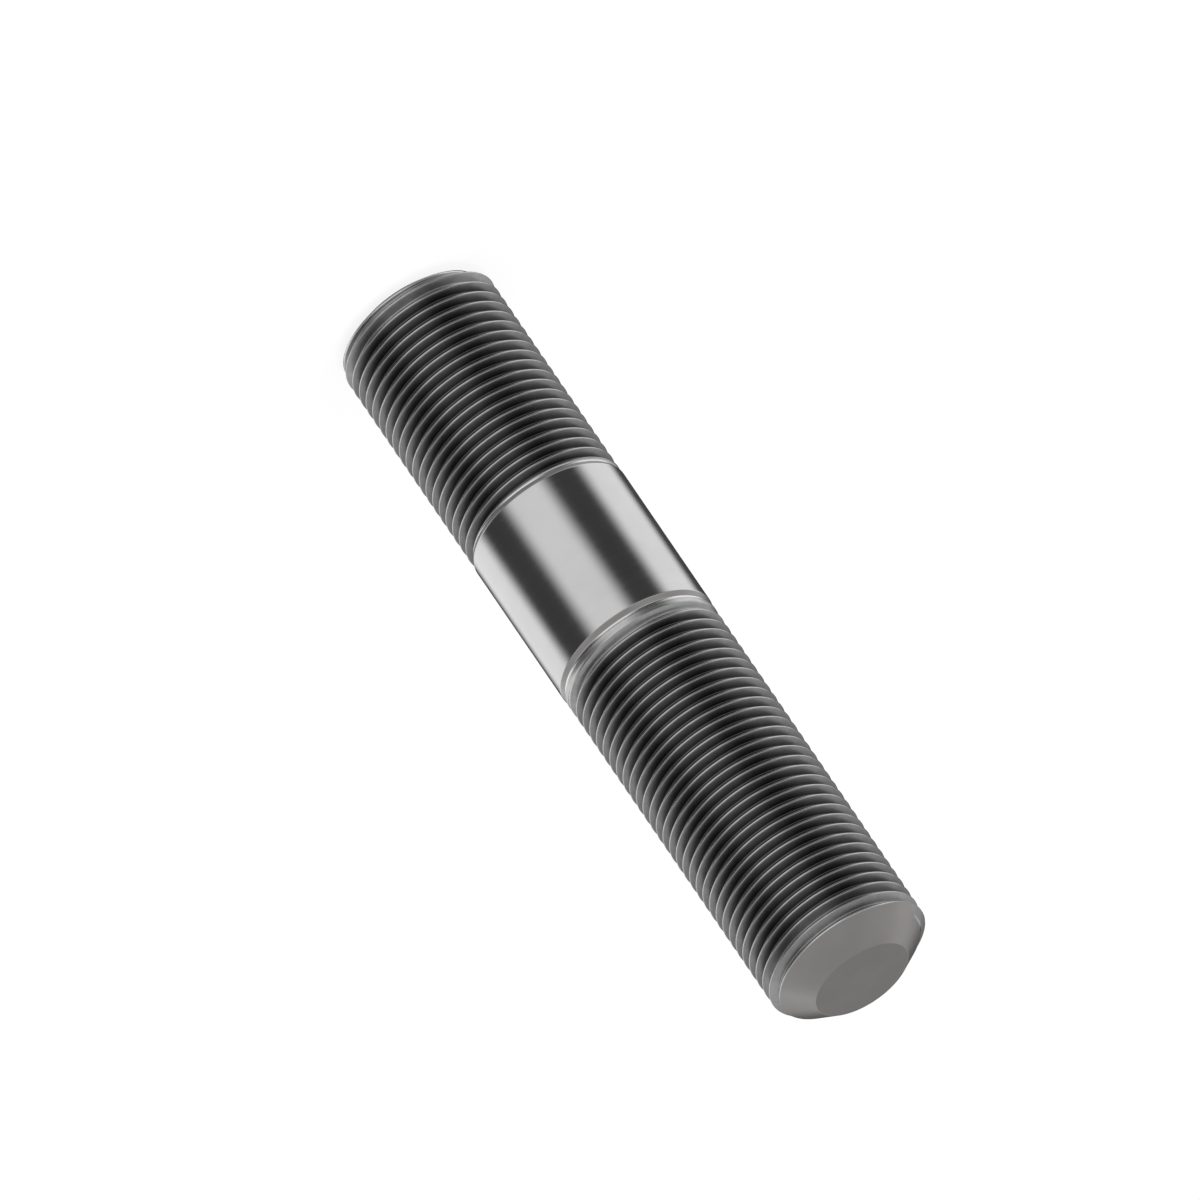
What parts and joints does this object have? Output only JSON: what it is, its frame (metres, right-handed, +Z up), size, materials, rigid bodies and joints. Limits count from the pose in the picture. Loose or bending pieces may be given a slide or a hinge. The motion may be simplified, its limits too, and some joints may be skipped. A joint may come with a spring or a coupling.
{
  "type": "stud bolt",
  "caption": "Double-ended steel stud: fine threads at both ends, a plain shank of full diameter between them, and a coned point.",
  "frame": {"origin": "centre of the flat at the tip of the nut end, on which the stud stands", "axes": "+Z up the stud's axis, from the nut end towards the coned metal end; X and Y are free, because the stud is round"},
  "size_m": [0.02, 0.02, 0.1017],
  "materials": {
    "steel": "ground and polished on the shank, bright crests over darker grooves on the threads, satin turned on the end faces"
  },
  "bodies": {
    "root": {"stud": "steel"}
  },
  "joints": []
}
